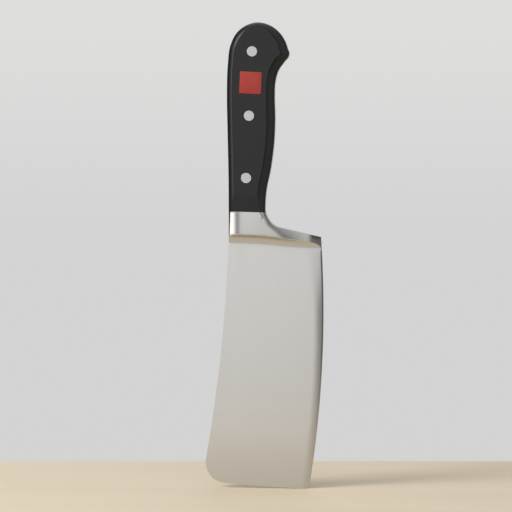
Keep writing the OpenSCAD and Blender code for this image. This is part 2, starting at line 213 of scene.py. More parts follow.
def facedRivetSteel():
    # Nickel silver rivets, ground flush with the scales on a belt: a pale, even, satin disc
    finish, tree = newMaterial("belt-faced rivet metal")
    place = addNode(tree, "ShaderNodeTexCoord")
    fine = 1 / rivetLook["scratch"]
    # The scratches are ten times as long as they are wide
    along = addNode(tree, "ShaderNodeMapping", {"Scale": (fine, 1, fine / 10)},
                    {"Vector": place.outputs["Object"]})
    scratches = addNode(tree, "ShaderNodeTexNoise", {"Scale": 1.0, "Detail": 3.0},
                        {"Vector": along.outputs["Vector"]})
    rough = addNode(tree, "ShaderNodeMapRange", {
        "To Min": rivetLook["roughness"] - rivetLook["roughnessSwing"],
        "To Max": rivetLook["roughness"] + rivetLook["roughnessSwing"]},
        {"Value": scratches.outputs["Fac"]})
    relief = addNode(tree, "ShaderNodeBump", {
        "Strength": rivetLook["scratchStrength"], "Distance": rivetLook["scratchDepth"]},
        {"Height": scratches.outputs["Fac"]})
    metal = addNode(tree, "ShaderNodeBsdfPrincipled", {
        "Base Color": hexColour(rivetLook["colour"]), "Metallic": 1.0},
        {"Roughness": rough.outputs["Result"], "Normal": relief.outputs["Normal"]})
    addNode(tree, "ShaderNodeOutputMaterial", links={"Surface": metal.outputs["BSDF"]})
    return finish


inlayLook = {"colour": "#a02d24", "deeper": "#95281f", "roughness": 0.35, "mottle": 3 * mm}


def polishedRedInlay():
    # Red moulded plastic, polished flush: a clear even red with a soft gloss
    finish, tree = newMaterial("polished red inlay plastic")
    place = addNode(tree, "ShaderNodeTexCoord")
    mottle = addNode(tree, "ShaderNodeTexNoise", {"Scale": 1 / inlayLook["mottle"], "Detail": 3.0},
                     {"Vector": place.outputs["Object"]})
    tint = mixedColour(tree, inlayLook["colour"], inlayLook["deeper"], mottle.outputs["Fac"])
    plastic = addNode(tree, "ShaderNodeBsdfPrincipled", {"IOR": 1.5, "Roughness": inlayLook["roughness"]},
                      {"Base Color": tint})
    addNode(tree, "ShaderNodeOutputMaterial", links={"Surface": plastic.outputs["BSDF"]})
    return finish


steelFinish = satinGroundSteel()
scaleFinish = mouldedBlackAcetal()
rivetFinish = facedRivetSteel()
inlayFinish = polishedRedInlay()
print("materials made")


# The blade and bolster: one forging, drawn as half its thickness over the outline

blade = {
    "heel": flat(58.4, 160), "toe": flat(51, 0), "edgeBow": 4.6,
    "spineTop": flat(0, 160), "spineEnd": flat(-17.3, 4.6), "spineBow": 3.1,
    "frontBow": 0.9, "cornerRadius": 13,
    "spineThickness": 4, "frontThickness": 3.2, "heelThickness": 2,
    "grindWidth": 5.2, "grindRoll": 0.3, "grindStart": 0.25, "grindRun": 46, "grindFade": 1.2,
    "heelGuard": 8.2, "bevelWidth": 0.8, "bevelThickness": 0.66, "bevelDrop": 0.29,
    "tangThickness": 3.5, "spineBevel": 0.25, "sharpAngle": 32,
}
bolster = {
    "height": 15.8, "thickness": 15.4, "shoulderThickness": 12.8, "crownRadius": 200, "lean": 1.6,
    "rampRadius": 6.2, "rampDrop": 4.2, "rampFall": 3.7, "footWave": 0.25, "waveLength": 46, "waveTop": 20,
    "neckRadius": 13, "neckWidth": 23.1, "neckSlope": 13.3, "neckEase": 1.2,
    "heelThickness": 6.2, "heelFlat": 5.8, "heelLip": 0.7, "heelRound": 0.4,
    "heelRise": 0.8, "riseFrom": 20, "riseRun": 30, "flankRadius": 115, "flankThickness": 16.7,
    "flankInset": 1, "flankSkew": 0.9, "skewRun": 34, "skewFrom": 1, "skewReach": 7, "skewRound": 1.5,
    "backEase": 3.7, "bellyEase": 4.9, "handleThickness": 17, "ridgeRound": 0.25, "easeRound": 0.35,
    "backRound": 1.2, "backFall": 0.00237, "backFrom": 9.7, "backFade": 0.45,
}

edgeRadius, edgeMiddle = arcThrough(blade["heel"], blade["toe"], blade["edgeBow"])
spineRadius, spineMiddle = arcThrough(blade["spineTop"], blade["spineEnd"], blade["spineBow"])
frontRadius, frontMiddle = arcThrough(blade["toe"], blade["spineEnd"], blade["frontBow"])


def cornerMiddleOf(radius):  # the round that touches the spine from outside and the front from inside
    gap = (frontMiddle - spineMiddle).length
    reach = spineRadius + radius
    along = (reach ** 2 - (frontRadius - radius) ** 2 + gap ** 2) / (2 * gap)
    way = (frontMiddle - spineMiddle).normalized()
    return spineMiddle + way * along - flat(-way.y, way.x) * math.sqrt(reach ** 2 - along ** 2)


cornerMiddle = cornerMiddleOf(blade["cornerRadius"])
blade["shift"] = -(edgeMiddle.x + edgeRadius + cornerMiddle.x - blade["cornerRadius"]) / 2
jointHeight = blade["heel"].y + bolster["height"]
halfTang = blade["tangThickness"] / 2
scaleDepth = (bolster["handleThickness"] - blade["tangThickness"]) / 2
wedge = (blade["spineThickness"] - blade["heelThickness"]) / 2 / blade["heel"].x
taper = (blade["spineThickness"] - blade["frontThickness"]) / 2 / blade["heel"].y
rampTop = blade["heel"].y - bolster["rampDrop"]
fall = math.radians(bolster["rampFall"])
slope = math.radians(bolster["neckSlope"])
slopeNormal = flat(math.sin(slope), math.cos(slope))
neckX = bolster["neckWidth"] + bolster["neckRadius"]
neckMiddle = flat(neckX, blade["heel"].y + (blade["heel"].x - neckX) * math.tan(slope)
                  + bolster["neckRadius"] / math.cos(slope))


def edgeX(z):
    return edgeMiddle.x + math.sqrt(edgeRadius ** 2 - (z - edgeMiddle.y) ** 2)


def spineX(z):
    if z >= blade["heel"].y:
        return 0
    return spineMiddle.x + math.sqrt(spineRadius ** 2 - (z - spineMiddle.y) ** 2)


def footWave(x):  # the foot of the ramp was ground by hand, and wavers a little
    return bolster["footWave"] * math.cos(math.tau * (x - bolster["waveTop"]) / bolster["waveLength"])


def footZ(x):
    return rampTop - x * math.tan(fall) + footWave(x)


def jointZ(x):
    return jointHeight - (x - bolster["neckWidth"] / 2) * math.tan(math.radians(bolster["lean"]))


sideCurve, cornerCurve = 2.2, 1.15


def easeHeight(inwards, width):  # height of the eased edge, a slanted side with a tighter corner
    share = max(inwards / width, 0)
    if share >= 1:
        return outOfReach
    return halfTang + scaleDepth * (1 - (1 - share) ** cornerCurve) ** (1 / sideCurve)


def faceHeight(x, z):
    return blade["spineThickness"] / 2 - x * wedge - (rampTop - z) * taper


def bladeHeight(x, z):
    face = faceHeight(x, z)
    inwards = edgeRadius - (flat(x, z) - edgeMiddle).length
    below = blade["heel"].y - blade["heelGuard"] - z
    heelHalf, bevel = blade["heelThickness"] / 2, blade["bevelWidth"]
    deep = easeStep(below / blade["grindRun"])  # the grind deepens as it runs down from the heel
    shallow = heelHalf - blade["grindStart"]
    bevelHalf = shallow + (blade["bevelThickness"] / 2 - shallow) * deep
    rise = (heelHalf - bevelHalf) / (blade["grindWidth"] - bevel) + wedge
    if inwards < bevel:
        ground = bevelHalf - blade["bevelDrop"] * (1 - inwards / bevel)
    else:
        ground = bevelHalf + (inwards - bevel) * rise
    ground = softMin(face, ground, blade["grindRoll"])
    return face + (ground - face) * easeStep(below / blade["grindFade"])


def neckInwards(x, z):  # how far a point lies inside the outline of the neck
    out = flat(x, z) - neckMiddle
    foot = -slopeNormal * bolster["neckRadius"]
    if out.y > 0:
        return bolster["neckWidth"] - x
    if out.x * foot.y - out.y * foot.x < 0 or x > neckMiddle.x:
        return (blade["heel"] - flat(x, z)).dot(slopeNormal)
    return out.length - bolster["neckRadius"]


def neckShare(x, z):  # how far round the hollow of the neck a point lies
    out = flat(x, z) - neckMiddle
    angle = math.degrees(math.atan2(-out.y, -out.x))
    return min(max(angle / (90 - bolster["neckSlope"]), 0), 1) if x < neckMiddle.x else 1


def neckEaseAt(share):  # the eased edge narrows round the hollow, down to a thin rim at the heel
    return bolster["neckEase"] + (bolster["bellyEase"] - bolster["neckEase"]) * (1 - share) ** 2


lean = (bolster["thickness"] - bolster["shoulderThickness"]) / 2 / bolster["height"]
flankStart = flat(bolster["neckWidth"] - bolster["flankInset"], bolster["flankThickness"] / 2)
flankEnd = flat(blade["heel"].x, bolster["heelThickness"] / 2)
flankBow = bolster["flankRadius"] - math.sqrt(
    bolster["flankRadius"] ** 2 - ((flankEnd - flankStart).length / 2) ** 2)
flankMiddle = arcThrough(flankStart, flankEnd, -flankBow)[1]
heelSlope = (flankEnd.y - blade["heelThickness"] / 2 - bolster["heelLip"]) / bolster["heelFlat"]


def crownHeight(x, z):
    aside = x - bolster["neckWidth"] / 2
    radius = bolster["crownRadius"]
    crown = bolster["thickness"] / 2 - (jointHeight - z) * lean - radius + math.sqrt(radius ** 2 - aside ** 2)
    # The forging stays thicker towards its heel
    return crown + bolster["heelRise"] * easeStep((x - bolster["riseFrom"]) / bolster["riseRun"])


def backDrop(x, z):  # towards its back the steel is rounded more than the scales, but flush at the joint
    inwards = bolster["backFrom"] - x
    if inwards <= 0:
        return 0
    return bolster["backFall"] * inwards ** 3 * easeStep((jointZ(x) - z) / bolster["backFade"])


def bolsterHeight(x, z):
    up = (z - blade["heel"].y) * lean
    # The ridge between the crown and the hollow flank runs down and outwards
    skew = bolster["flankSkew"] * easeStep((blade["heel"].x - x) / bolster["skewRun"])
    above = softMin(z - blade["heel"].y - bolster["skewFrom"], bolster["skewReach"], bolster["skewRound"])
    aside = x + skew * above - flankMiddle.x
    flank = flankMiddle.y - math.sqrt(bolster["flankRadius"] ** 2 - aside ** 2) + up
    height = softMin(crownHeight(x, z) - backDrop(x, z), flank, bolster["ridgeRound"])
    heelFlat = flankEnd.y - (x - blade["heel"].x + bolster["heelFlat"]) * heelSlope
    height = softMin(height, heelFlat, bolster["ridgeRound"])
    neckEase = easeHeight(neckInwards(x, z), neckEaseAt(neckShare(x, z)))
    height = softMin(height, neckEase, bolster["easeRound"])
    return softMin(height, easeHeight(x, bolster["backEase"]), bolster["backRound"])


def rampHeight(x, z):  # a fillet that rises from the blade's face
    up = max((z - footZ(x)) * math.cos(fall), 0)
    radius = bolster["rampRadius"]
    if up >= radius:
        return outOfReach
    return faceHeight(x, z) + radius - math.sqrt(radius ** 2 - up ** 2)


def easeStations(count):  # shares of an eased edge's width that follow its curve evenly
    return [1 - (1 - (k / count) ** sideCurve) ** (1 / cornerCurve) for k in range(count + 1)]


# How closely the forging is divided: columns from the spine and from the edge in millimetres,
# the numbers of columns and rows between, and the lengths over which they change their course
fromBack = [0, 0.06, 0.16, 0.32, 0.55, 0.85, 1.25, 1.75, 2.3, 2.9, 3.5, 4.2, 5]
fromEdge = [5.2, 4.4, 3.6, 2.9, 2.3, 1.8, 1.4, 1.05, 0.7, 0.35, 0]
net = {
    "crownColumns": 17, "neckColumns": 46, "easeRows": 12, "cornerRows": 18, "spineRows": 52,
    "rampRows": 10, "sideRows": 12,
    "frontFade": 12, "footFade": 22, "cornerFade": 6, "neckFade": 7, "leastSlant": 0.6,
}
neckStations = easeStations(net["easeRows"])
jointEase = neckEaseAt(neckShare(bolster["neckWidth"] + 0.3, jointHeight))  # just past the joint's corner


def neckArcStart():  # the angle at which the joint meets the hollow of the neck
    z = jointZ(bolster["neckWidth"])
    return 180 + math.degrees(math.asin((neckMiddle.y - z) / bolster["neckRadius"]))


neckFrom = neckArcStart()
neckTo = 270 - bolster["neckSlope"]
neckArcLength = math.radians(neckTo - neckFrom) * bolster["neckRadius"]
neckCorner = neckMiddle + turned(neckFrom) * bolster["neckRadius"]
neckFoot = neckMiddle + turned(neckTo) * bolster["neckRadius"]
neckLength = neckArcLength + (blade["heel"] - neckFoot).length


def neckPoint(run):  # a point on the neck's outline and the way out of the metal there
    if run < neckArcLength:
        way = turned(neckFrom + math.degrees(run / bolster["neckRadius"]))
        return neckMiddle + way * bolster["neckRadius"], -way
    share = (run - neckArcLength) / (neckLength - neckArcLength)
    return neckFoot.lerp(blade["heel"], share), slopeNormal


def columnPlan():  # for each column: its place across the foot of the ramp
    footRight = blade["heel"].x
    inner = footRight - fromEdge[0]
    plan = [("back", d, d) for d in fromBack]
    left, right = fromBack[-1], neckCorner.x - jointEase
    crownCount, neckCount = net["crownColumns"], net["neckColumns"]
    xs = [left + (right - left) * k / crownCount for k in range(1, crownCount)]
    xs += [neckCorner.x - d * jointEase for d in reversed(neckStations)]
    xs += [neckCorner.x + (inner - neckCorner.x) * k / neckCount for k in range(1, neckCount)]
    plan += [("middle", (x - fromBack[-1]) / (inner - fromBack[-1]), x) for x in xs]
    return plan + [("edge", d, footRight - d) for d in fromEdge]


def across(plan, left, right):  # the points of one row of the blade, from spine to edge
    way = (right - left).normalized()
    first, last = left + way * fromBack[-1], right - way * fromEdge[0]
    place = {"back": lambda v: left + way * v, "edge": lambda v: right - way * v,
             "middle": lambda v: first.lerp(last, v)}
    return [place[kind](value) for kind, value, x in plan]


def bladeRows(plan):
    cornerFrom = math.degrees(math.atan2(*reversed(cornerMiddle - frontMiddle)))
    cornerTo = math.degrees(math.atan2(*reversed(spineMiddle - cornerMiddle))) - 360
    if cornerTo < cornerFrom - 180:
        cornerTo += 360
    count = net["cornerRows"]
    lefts = [cornerMiddle + turned(cornerFrom + (cornerTo - cornerFrom) * k / count) * blade["cornerRadius"]
             for k in range(count + 1)]
    top, start, count = footZ(0), lefts[-1].y, net["spineRows"]
    lefts += [flat(spineX(start + (top - start) * k / count), start + (top - start) * k / count)
              for k in range(1, count + 1)]
    low, high = lefts[0].y, footZ(blade["heel"].x)
    lastChord = flat(edgeX(high), high) - flat(0, top)
    rows = []
    for left in lefts:
        z = high * (left.y - low) / (top - low)
        points = across(plan, left, flat(edgeX(z), z))
        fade = easeStep(1 - (left.y - low) / net["frontFade"])
        if fade > 0:  # the front end is bowed, and the rows above it straighten out
            chord = flat(edgeX(z), z) - left
            sag = chord.length ** 2 / (8 * frontRadius)
            for p in points:
                share = (p - left).length / chord.length
                p.y -= fade * sag * 4 * share * (1 - share)
        lift = easeStep(1 - (top - left.y) / net["footFade"])
        if lift > 0:  # the last rows come to follow the foot of the ramp
            for p in points[1:-1]:
                p.y += lift * (footZ(p.x) - top - p.x * lastChord.y / lastChord.x)
        rows.append(points)
    return rows


def shoulderUp(foot):  # how far up the ramp runs before it meets the bolster's side
    low, high = 0, bolster["rampRadius"] * 0.9999
    for k in range(40):  # halved until the place is exact
        mid = (low + high) / 2
        p = foot + flat(math.sin(fall), math.cos(fall)) * mid
        if rampHeight(p.x, p.y) < bolsterHeight(p.x, p.y):
            low = mid
        else:
            high = mid
    return low


def bolsterColumns(plan, feet):
    cornerWay = (flat(0, 1) + neckPoint(0)[1]).normalized()
    columns = []
    rampSteps, sideSteps = net["rampRows"], net["sideRows"]
    radius, upWay = bolster["rampRadius"], flat(math.sin(fall), math.cos(fall))
    inner = blade["heel"].x - fromEdge[0]
    long = neckLength - fromEdge[0] / math.cos(slope)
    for (kind, value, x), foot in zip(plan, feet):
        last = math.asin(shoulderUp(foot) / radius)
        ramp = [foot + upWay * radius * math.sin(last * k / rampSteps) for k in range(1, rampSteps + 1)]
        if x <= neckCorner.x + 1e-6:
            top = flat(x, jointZ(x))
            way = cornerWay.lerp(flat(0, 1), easeStep((neckCorner.x - x) / net["cornerFade"])).normalized()
            stretch = 1
        else:
            run = long * (x - neckCorner.x) / (inner - neckCorner.x)
            if kind == "edge":
                run = neckLength - value / math.cos(slope)
            top, out = neckPoint(run)
            way = cornerWay.lerp(out, easeStep(run / net["neckFade"])).normalized()
            way = flat(0, 1).lerp(way, easeStep((neckLength - run) / net["neckFade"])).normalized()
            stretch = 1 / max(way.dot(out), net["leastSlant"])
        width = neckEaseAt(neckShare(top.x, top.y)) if x > neckCorner.x else jointEase
        rim = [top - way * d * width * stretch for d in reversed(neckStations)]
        side = [ramp[-1].lerp(rim[0], k / sideSteps) for k in range(1, sideSteps)]
        column = [(p, "ramp") for p in ramp] + [(p, "side") for p in side + rim]
        columns.append(column)
    for p, zone in columns[0]:
        p.x = spineX(p.y)
    for p, zone in columns[-1]:
        p.x = edgeX(p.y)
    columns[-1][-1][0].x = blade["heel"].x
    return columns


def halfForging():  # a grid with one face for each place between the rows and columns
    plan = columnPlan()
    rows = bladeRows(plan)
    columns = bolsterColumns(plan, rows[-1])
    places = [[(p.x, bladeHeight(p.x, p.y), p.y) for p in row] for row in rows]
    for k in range(len(columns[0])):
        row = []
        for column in columns:
            p, zone = column[k]
            height = bolsterHeight(p.x, p.y)
            if zone == "ramp":
                height = min(rampHeight(p.x, p.y), height)
            row.append((p.x, height, p.y))
        places.append(row)
    wide, high = len(plan) - 1, len(places) - 1
    bm = bmesh.new()
    bmesh.ops.create_grid(bm, x_segments=wide, y_segments=high, size=1)
    for v in bm.verts:
        i, j = round((v.co.x + 1) / 2 * wide), round((v.co.y + 1) / 2 * high)
        v.co = places[j][i]
    return bm


def forgedSteel():
    # Half the forging, closed to its middle plane, with its long edges rounded, then mirrored.
    # The rounded edges lie off the middle plane, turn sharply, and stop short of the bolster.
    offPlane, turn, short, close, hair = 0.6, 0.8, 4, 0.02, 0.1
    bm = halfForging()
    rim = [e for e in bm.edges if e.is_boundary]
    wall = bmesh.ops.extrude_edge_only(bm, edges=rim)["geom"]
    for v in onlyVerts(wall):
        v.co.y = 0
    border = [e for e in rim if e.is_valid and max(v.co.y for v in e.verts) > offPlane
              and min(v.co.z for v in e.verts) < blade["heel"].y - short and e.calc_face_angle(0) > turn]
    bevelEdges(bm, border, blade["spineBevel"], 3)
    heelEnd = [e for e in bm.edges if all(abs(v.co.x - edgeX(v.co.z)) < close and v.co.y > offPlane
               and v.co.z > footZ(blade["heel"].x) - hair for v in e.verts)]
    bevelEdges(bm, heelEnd, bolster["heelRound"], 1)
    bmesh.ops.mirror(bm, geom=wholeOf(bm), axis="Y", merge_dist=1e-4)
    bmesh.ops.remove_doubles(bm, verts=bm.verts, dist=1e-4)
    bmesh.ops.recalc_face_normals(bm, faces=bm.faces)
    print("forging:", len(bm.faces), "faces, open edges:", openEdges(bm))

    # The tang is cut from a merged copy of the CAD node, just above the joint
    tang = bmesh.new()
    tang.from_mesh(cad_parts["blade_with_tang"].data)
    bmesh.ops.remove_doubles(tang, verts=tang.verts, dist=1e-6)
    bmesh.ops.scale(tang, vec=(1 / mm, 1 / mm, 1 / mm), verts=tang.verts)
    bmesh.ops.translate(tang, vec=(-blade["shift"], 0, 0), verts=tang.verts)
    angle = math.radians(bolster["lean"])
    bmesh.ops.bisect_plane(tang, geom=wholeOf(tang), dist=1e-4,
                           plane_co=(bolster["neckWidth"] / 2, 0, jointHeight + close),
                           plane_no=(math.sin(angle), 0, math.cos(angle)), clear_inner=True)
    bmesh.ops.holes_fill(tang, edges=[e for e in tang.edges if e.is_boundary])
    bmesh.ops.dissolve_limit(tang, angle_limit=math.radians(0.3), verts=tang.verts, edges=tang.edges)
    print("tang:", len(tang.faces), "faces, open edges:", openEdges(tang))
    mesh = bpy.data.meshes.new("tang")
    tang.to_mesh(mesh)
    tang.free()
    bm.from_mesh(mesh)
    bpy.data.meshes.remove(mesh)
    addPiece("forgedBladeAndTang", bm, blade["sharpAngle"], steelFinish, ["blade_with_tang"])


forgedSteel()
print("blade and bolster forged")


# The scales: rings drawn in from the handle's outline, cut to the joint and crowned below

handle = {
    "length": 119.2, "backBulge": 1.1, "bellyWidth": 29.5, "waistWidth": 29.2, "beakWidth": 38.5,
    "beakDrop": 20.4, "crownX": 18.3, "backEase": 3.7, "bellyEase": 4.9, "buttEase": 1.8, "beakEase": 5.2,
    "runOn": 6, "steps": 8, "rings": 16, "borderRound": 0.12, "borderAngle": 50, "sharpAngle": 3.2,
}
rivets = {
    "headDiameter": 6.8, "headLength": 2.4, "shankDiameter": 4.8, "postDiameter": 3.2, "chamfer": 0.22,
    "fromBack": 11.7, "lean": 2.7, "heights": {"neck": 21.4, "middle": 60.5, "butt": 100.8}, "gap": 0.03,
    "postGap": 0.02, "boreEnd": 3.6, "steps": 64, "boreSteps": 72, "sharpAngle": 30,
    "pole": 0.001,  # the ring at the axis, so small that it merges to one point
}
inlay = {
    "side": 13.8, "thickness": 0.8, "corner": 0.5, "height": 81.2, "gap": 0.05, "rounding": 0.12,
    "sharpAngle": 30,
}
faceY = bolster["handleThickness"] / 2


def neckAt(z):
    if z >= neckMiddle.y:
        return bolster["neckWidth"]
    return neckMiddle.x - math.sqrt(bolster["neckRadius"] ** 2 - (neckMiddle.y - z) ** 2)


def handleLine():  # x, height above the joint, width of the eased edge, up the back and down the belly
    h, on = handle, handle["runOn"]
    long, back = h["length"], h["backBulge"]
    buttBack, buttFront = h["crownX"] + back, h["beakWidth"] - h["crownX"]
    beakUp, out = long - h["beakDrop"], h["beakWidth"] - h["waistWidth"]
    browX, browUp = h["crownX"] + buttFront * 0.875, long - h["beakDrop"] * 0.6
    neck, full = bolster["neckWidth"], h["bellyWidth"] - bolster["neckWidth"]
    neckEases = [neckEaseAt(neckShare(neckAt(z), z)) for z in (jointHeight, jointHeight - on)]
    return [
        (0, -on, h["backEase"]), (0, 0, h["backEase"]), (-back * 0.1, long * 0.18, h["backEase"]),
        (-back * 0.65, long * 0.43, h["backEase"]), (-back, long * 0.63, h["backEase"]),
        (-back * 0.5, long - buttBack * 1.4, h["backEase"]),
        (h["crownX"] - buttBack * 0.87, long - buttBack * 0.7, h["backEase"]),
        (h["crownX"] - buttBack * 0.66, long - buttBack * 0.315, h["backEase"]),
        (h["crownX"] - buttBack * 0.36, long - buttBack * 0.092, (h["backEase"] + h["buttEase"]) / 2),
        (h["crownX"], long, h["buttEase"]),
        (h["crownX"] + buttFront * 0.35, long - h["beakDrop"] * 0.074, (h["buttEase"] + h["beakEase"]) / 2),
        (h["crownX"] + buttFront * 0.66, long - h["beakDrop"] * 0.287, h["beakEase"] * 0.85),
        (browX, browUp, h["beakEase"] * 0.9),
        ((browX + h["beakWidth"]) / 2 + 0.15, (browUp + beakUp) / 2, h["beakEase"] * 0.95),
        (h["beakWidth"] - 0.1, beakUp + 0.5, h["beakEase"] * 0.95),
        (h["beakWidth"] - 0.35, beakUp - 0.7, h["beakEase"] * 0.95),
        (h["waistWidth"] + out * 0.65, beakUp - 4.6, h["beakEase"]),
        (h["waistWidth"] + out * 0.265, beakUp - 9.8, h["beakEase"]),
        (h["waistWidth"] + out * 0.04, beakUp - 17.5, h["bellyEase"]),
        (h["waistWidth"], beakUp - 25.5, h["bellyEase"]), (h["bellyWidth"], long * 0.5, h["bellyEase"]),
        (neck + full * 0.92, long * 0.38, h["bellyEase"]), (neck + full * 0.58, long * 0.23, h["bellyEase"]),
        (neck + full * 0.135, long * 0.11, h["bellyEase"]),
        (neckAt(jointHeight) - 0.1, long * 0.035, (h["bellyEase"] + neckEases[0]) / 2),
        (neckAt(jointHeight), 0, neckEases[0]), (neckAt(jointHeight - on), -on, neckEases[1])]


def wayAt(points, i):
    if i == 0:
        return (points[1] - points[0]).normalized()
    if i == len(points) - 1:
        return (points[i] - points[i - 1]).normalized()
    a, b = points[i] - points[i - 1], points[i + 1] - points[i]
    return (a / a.length_squared + b / b.length_squared).normalized()


def drawnIn(share):  # the smooth outline, drawn in by a share of the eased edge's width
    line = handleLine()
    points = [flat(x, z) for x, z, ease in line]
    ways = [wayAt(points, i) for i in range(len(points))]
    points = [p - flat(-w.y, w.x) * ease * share for p, w, (x, z, ease) in zip(points, ways, line)]
    ways = [wayAt(points, i) for i in range(len(points))]
    smooth = []
    for i in range(len(points) - 1):
        a, b, length = points[i], points[i + 1], (points[i + 1] - points[i]).length
        for k in range(handle["steps"]):
            t = k / handle["steps"]
            smooth.append(a * (1 + 2 * t) * (1 - t) ** 2 + ways[i] * length * t * (1 - t) ** 2
                          + b * t * t * (3 - 2 * t) + ways[i + 1] * length * t * t * (t - 1))
    return smooth + [points[-1]]


def onRow(height):  # a place on the slanted row of the rivets and the inlay
    aside = (height - rivets["heights"]["neck"]) * math.tan(math.radians(rivets["lean"]))
    return flat(rivets["fromBack"] + aside, jointHeight + height)


def tempObject(name, bm):
    mesh = bpy.data.meshes.new(name)
    bm.to_mesh(mesh)
    bm.free()
    piece = bpy.data.objects.new(name, mesh)
    bpy.context.scene.collection.objects.link(piece)
    return piece


def cutWith(piece, cutter, operation):  # a Boolean whose result becomes the piece's mesh
    modifier = piece.modifiers.new("cut", "BOOLEAN")
    modifier.operation, modifier.object, modifier.solver = operation, cutter, "EXACT"
    bpy.context.view_layer.update()
    result = bpy.data.meshes.new_from_object(piece.evaluated_get(bpy.context.evaluated_depsgraph_get()))
    piece.modifiers.clear()
    old = piece.data
    piece.data = result
    bpy.data.meshes.remove(old)
    bpy.data.objects.remove(cutter)


def roundBar(place, diameter, y0, y1):
    bm = bmesh.new()
    bmesh.ops.create_cone(bm, cap_ends=True, segments=rivets["boreSteps"], radius1=diameter / 2,
                          radius2=diameter / 2, depth=y1 - y0,
                          matrix=Matrix.Translation((place.x, (y0 + y1) / 2, place.y))
                          @ Matrix.Rotation(math.radians(90), 4, "X"))
    return bm


def crownBlock():  # all that lies under the crowned side of the bolster, carried on up the scale
    middle, halfWidth, leanTop, over, below, deep = 12, 40, 60, 80, -20, -5
    bm = bmesh.new()
    bmesh.ops.create_grid(bm, x_segments=80, y_segments=1, size=1)
    for v in bm.verts:
        x, z = middle + v.co.x * halfWidth, jointHeight + (leanTop if v.co.y > 0 else below)
        v.co = (x, crownHeight(x, z), z)
    under = bmesh.ops.extrude_face_region(bm, geom=bm.faces[:])["geom"]
    for v in onlyVerts(under):
        v.co.y = deep
    top = [f for f in bm.faces if f.calc_center_median().z > jointHeight + leanTop - 0.1]
    raised = bmesh.ops.extrude_face_region(bm, geom=top)["geom"]
    bmesh.ops.translate(bm, vec=(0, 0, over), verts=onlyVerts(raised))
    bmesh.ops.delete(bm, geom=top, context="FACES")
    bmesh.ops.recalc_face_normals(bm, faces=bm.faces)
    return bm


def inlayPlate(grow, rounding):
    place, half = onRow(inlay["height"]), inlay["side"] / 2 + grow
    bm = bmesh.new()
    bmesh.ops.create_grid(bm, x_segments=1, y_segments=1, size=half)
    bmesh.ops.bevel(bm, geom=bm.verts[:], offset=inlay["corner"] + grow, segments=5, profile=0.5,
                    affect="VERTICES", material=-1)
    top = bmesh.ops.extrude_face_region(bm, geom=bm.faces[:])["geom"]
    bmesh.ops.translate(bm, vec=(0, 0, inlay["thickness"]), verts=onlyVerts(top))
    bmesh.ops.recalc_face_normals(bm, faces=bm.faces)
    if rounding:
        face = [e for e in bm.edges if all(v.co.z > inlay["thickness"] - 1e-4 for v in e.verts)]
        bevelEdges(bm, face, rounding, 2)
    turn = Matrix.Rotation(math.radians(90), 4, "X") @ Matrix.Rotation(math.radians(-rivets["lean"]), 4, "Z")
    bmesh.ops.transform(bm, matrix=Matrix.Translation((place.x, inlay["thickness"] - faceY, place.y)) @ turn,
                        verts=bm.verts)
    return bm


def scaleBlank():
    count, rings = handle["steps"] * (len(handleLine()) - 1) + 1, handle["rings"]
    bm = bmesh.new()
    bmesh.ops.create_circle(bm, segments=count, radius=1)
    bm.verts.ensure_lookup_table()
    station = bm.verts.layers.int.new("station")
    for i, v in enumerate(bm.verts):
        v[station] = i
    edges = bm.edges[:]
    verts = bm.verts[:]
    for k in range(rings + 1):
        depth = 1 - (1 - k / rings) ** 2
        line = drawnIn(1 - (1 - depth ** sideCurve) ** (1 / cornerCurve))
        if k:
            grown = bmesh.ops.extrude_edge_only(bm, edges=edges)["geom"]
            edges = [g for g in grown if isinstance(g, bmesh.types.BMEdge) and g.is_boundary]
            verts = onlyVerts(grown)
        for v in verts:
            p = line[v[station]]
            v.co = (p.x, halfTang + depth * scaleDepth, p.y + jointHeight)
    bmesh.ops.holes_fill(bm, edges=[e for e in bm.edges if e.is_boundary])
    angle = math.radians(bolster["lean"])
    bmesh.ops.bisect_plane(bm, geom=wholeOf(bm), dist=1e-5,
                           plane_co=(bolster["neckWidth"] / 2, 0, jointHeight),
                           plane_no=(math.sin(angle), 0, math.cos(angle)), clear_inner=True)
    bmesh.ops.holes_fill(bm, edges=[e for e in bm.edges if e.is_boundary])
    bmesh.ops.recalc_face_normals(bm, faces=bm.faces)
    return bm


def handleScale(name, node, inlaySide):
    proud, hair = 2, 0.01  # how far the cutters of the rivets and of the inlay stand out of the face
    piece = tempObject(name, scaleBlank())
    cutWith(piece, tempObject("crown", crownBlock()), "INTERSECT")
    for height in rivets["heights"].values():
        wide = rivets["headDiameter"] + 2 * rivets["gap"]
        bore = roundBar(onRow(height), wide, faceY - rivets["headLength"], faceY + proud)
        cutWith(piece, tempObject("bore", bore), "DIFFERENCE")
    bm = bmesh.new()
    bm.from_mesh(piece.data)
    if inlaySide:
        bmesh.ops.scale(bm, vec=(1, -1, 1), verts=bm.verts)
        bmesh.ops.recalc_face_normals(bm, faces=bm.faces)
        bm.to_mesh(piece.data)
        pocket = inlayPlate(inlay["gap"], 0)
        bmesh.ops.translate(pocket, vec=(0, -hair, 0), verts=pocket.verts)
        cutWith(piece, tempObject("pocket", pocket), "DIFFERENCE")
        bm.free()
        bm = bmesh.new()
        bm.from_mesh(piece.data)
    bpy.data.objects.remove(piece)
    bmesh.ops.remove_doubles(bm, verts=bm.verts, dist=1e-4)
    border = [e for e in bm.edges if e.calc_face_angle(0) > math.radians(handle["borderAngle"])]
    bevelEdges(bm, border, handle["borderRound"], 2)
    print(name, len(bm.faces), "faces, open edges:", openEdges(bm))
    addPiece(name, bm, handle["sharpAngle"], scaleFinish, [node])


handleScale("mouldedScaleInlaySide", "scale_inlay_side", True)
handleScale("mouldedScalePlainSide", "scale_plain_side", False)
print("scales moulded")


# The rivets: turned in two parts, a post and a sleeve, with their heads faced flush

